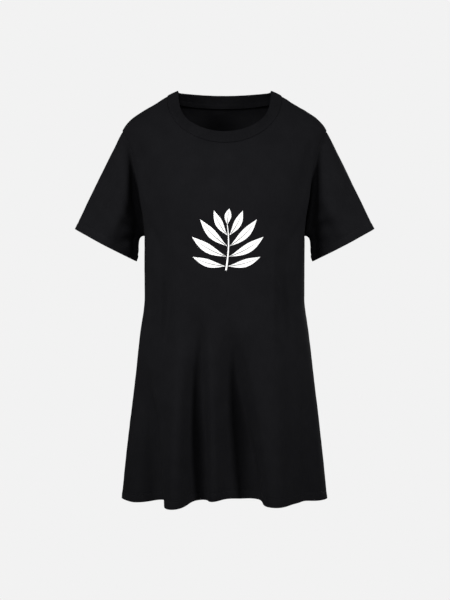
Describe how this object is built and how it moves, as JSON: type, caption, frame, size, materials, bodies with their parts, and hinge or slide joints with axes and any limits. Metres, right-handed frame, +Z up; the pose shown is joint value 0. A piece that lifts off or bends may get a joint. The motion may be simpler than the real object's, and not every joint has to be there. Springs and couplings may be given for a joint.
{
  "type": "t-shirt dress",
  "caption": "Short-sleeved A-line t-shirt dress in black jersey with a ribbed crew neck, filled out as worn, open at neck, hem and cuffs.",
  "frame": {"origin": "midway between the points where the shoulder seams meet the neckband, raised to the level of the top of the shoulders", "axes": "+Z up, front towards -Y, the wearer's left at +X"},
  "size_m": [0.6274, 0.3176, 0.8552],
  "materials": {
    "jersey": "black cotton jersey, matt",
    "rib": "black 1x1 cotton rib, matt"
  },
  "bodies": {
    "root": {"front": "jersey", "back": "jersey", "sleeve_left": "jersey", "sleeve_right": "jersey", "neckband": "rib", "neck_tape": "jersey"}
  },
  "joints": []
}
